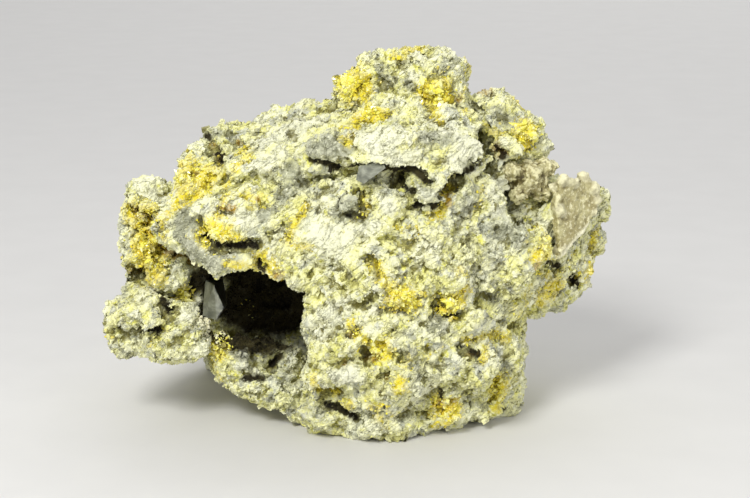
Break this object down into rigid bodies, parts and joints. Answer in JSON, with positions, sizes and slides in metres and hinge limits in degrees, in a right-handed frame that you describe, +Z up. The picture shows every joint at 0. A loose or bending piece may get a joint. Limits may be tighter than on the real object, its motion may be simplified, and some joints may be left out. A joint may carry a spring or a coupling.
{
  "type": "native sulfur crystals on host rock",
  "caption": "Loose lump of pale grey and cream limestone with groups of yellow native sulfur crystals, a tan calcite plate and crust, and a grey spar blade in a deep hollow.",
  "frame": {"origin": "on the ground, under the middle of the lump's bounding box", "axes": "+X to the right along the lump's length, +Y to its back, +Z up; the ledge and hollow face -Y"},
  "size_m": [0.1998, 0.1242, 0.1446],
  "materials": {
    "limestone": "rough broken rock, cream and grey with a chalky sulfur-stained skin",
    "sulfur": "small resinous crystals, yellow to amber, slightly see-through",
    "calcite": "waxy tan calcite, finely sugary, with a white rim",
    "spar": "grey cleaved spar with smooth shiny faces"
  },
  "bodies": {
    "root": {"host_rock": "limestone", "sulfur_left_pocket": "sulfur", "sulfur_shoulder_crust": "sulfur", "sulfur_ledge_cluster": "sulfur", "sulfur_peak_flank": "sulfur", "sulfur_neck_cluster": "sulfur", "sulfur_peak_pocket": "sulfur", "sulfur_right_shoulder": "sulfur", "sulfur_right_edge": "sulfur", "sulfur_face_centre": "sulfur", "sulfur_face_right": "sulfur", "sulfur_lower_pocket": "sulfur", "sulfur_foot_cluster": "sulfur", "sulfur_lower_right": "sulfur", "sulfur_cave_cluster": "sulfur", "sulfur_cave_floor": "sulfur", "calcite_crust": "calcite", "calcite_plate": "calcite", "spar_blade": "spar", "spar_chip": "spar"}
  },
  "joints": []
}
